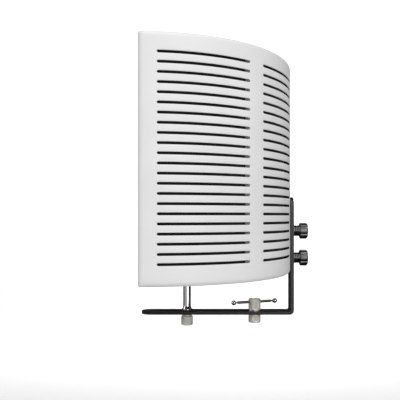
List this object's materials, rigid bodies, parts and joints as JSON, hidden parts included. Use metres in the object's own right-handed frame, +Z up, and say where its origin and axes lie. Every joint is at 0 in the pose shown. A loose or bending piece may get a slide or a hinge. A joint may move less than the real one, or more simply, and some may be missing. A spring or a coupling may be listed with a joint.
{
  "type": "microphone isolation shield",
  "caption": "Half-round slotted steel shield lined with foam on an L-shaped flat-bar bracket, with thumb knobs, a microphone post and a T-bar stand clamp.",
  "frame": {"origin": "middle of the stand thread's mouth, at the foot of the stand socket", "axes": "+Z up along the stand, +X from the microphone towards the back of the shield"},
  "size_m": [0.252, 0.4216, 0.3855],
  "materials": {
    "white_paint": "satin white powder coat",
    "black_powder_coat": "satin black powder coat",
    "black_foam": "open-cell acoustic foam",
    "chrome": "polished chrome",
    "satin_nickel": "satin nickel plating",
    "black_chrome": "glossy black nickel plating",
    "zinc_steel": "zinc plated",
    "black_rubber": "matte"
  },
  "bodies": {
    "stand_socket": {"stand_socket": "satin_nickel", "clamp_stud": "zinc_steel"},
    "arm_washer": {"arm_washer": "zinc_steel"},
    "bracket": {"bracket": "black_powder_coat"},
    "clamp_washer": {"clamp_washer": "zinc_steel"},
    "clamp_nut": {"clamp_nut": "satin_nickel", "tommy_bar": "satin_nickel", "tommy_bar_balls": "chrome"},
    "mic_post": {"mic_post": "chrome", "mic_thread_tip": "satin_nickel", "post_flange": "chrome", "post_top_washer": "black_rubber"},
    "post_lower_washer": {"post_lower_washer": "black_rubber"},
    "post_nut": {"post_nut": "satin_nickel"},
    "shield": {"outer_shell": "white_paint", "left_channel": "white_paint", "right_channel": "white_paint", "back_channel": "white_paint", "acoustic_foam": "black_foam", "weld_nuts": "zinc_steel", "shield_pad": "black_rubber"},
    "knob_lower_washer": {"knob_lower_washer": "black_chrome"},
    "knob_lower": {"knob_lower_head": "black_chrome", "knob_lower_ferrule": "black_chrome", "knob_lower_screw": "zinc_steel"},
    "knob_upper_washer": {"knob_upper_washer": "black_chrome"},
    "knob_upper": {"knob_upper_head": "black_chrome", "knob_upper_ferrule": "black_chrome", "knob_upper_screw": "zinc_steel"}
  },
  "joints": [
    {"name": "swivel", "type": "hinge", "parent": "stand_socket", "child": "arm_washer", "pos_m": [0, 0, 0.013], "axis": [0, 0, 1], "continuous": true},
    {"name": "bracket_slide", "type": "slide", "parent": "arm_washer", "child": "bracket", "axis": [1, 0, 0], "range_m": [0, 0.03]},
    {"name": "clamp_nut_lift", "type": "slide", "parent": "stand_socket", "child": "clamp_washer", "axis": [0, 0, 1], "range_m": [0, 0.006]},
    {"name": "clamp_nut_turn", "type": "hinge", "parent": "clamp_washer", "child": "clamp_nut", "pos_m": [0, 0, 0.02], "axis": [0, 0, 1], "range_deg": [0, 1441]},
    {"name": "post_slide", "type": "slide", "parent": "bracket", "child": "mic_post", "axis": [1, 0, 0], "range_m": [-0.04, 0.01]},
    {"name": "post_nut_drop", "type": "slide", "parent": "mic_post", "child": "post_lower_washer", "axis": [0, 0, -1], "range_m": [0, 0.006]},
    {"name": "post_nut_turn", "type": "hinge", "parent": "post_lower_washer", "child": "post_nut", "pos_m": [-0.103, 0, 0.004], "axis": [0, 0, -1], "range_deg": [0, 1441]},
    {"name": "shield_height", "type": "slide", "parent": "bracket", "child": "shield", "axis": [0, 0, 1], "range_m": [-0.027, 0.037]},
    {"name": "knob_lower_travel", "type": "slide", "parent": "shield", "child": "knob_lower_washer", "axis": [1, 0, 0], "range_m": [0, 0.005]},
    {"name": "knob_lower_turn", "type": "hinge", "parent": "knob_lower_washer", "child": "knob_lower", "pos_m": [0.06, 0, 0.0985], "axis": [1, 0, 0], "range_deg": [0, 1441]},
    {"name": "knob_upper_travel", "type": "slide", "parent": "shield", "child": "knob_upper_washer", "axis": [1, 0, 0], "range_m": [0, 0.005]},
    {"name": "knob_upper_turn", "type": "hinge", "parent": "knob_upper_washer", "child": "knob_upper", "pos_m": [0.06, 0, 0.1395], "axis": [1, 0, 0], "range_deg": [0, 1441]}
  ],
  "couplings": [
    {"joint": "clamp_nut_turn", "follows": "clamp_nut_lift", "rad_per_m": 4188.8},
    {"joint": "post_nut_turn", "follows": "post_nut_drop", "rad_per_m": 4188.8},
    {"joint": "knob_lower_turn", "follows": "knob_lower_travel", "rad_per_m": 5026.5},
    {"joint": "knob_upper_turn", "follows": "knob_upper_travel", "rad_per_m": 5026.5}
  ]
}
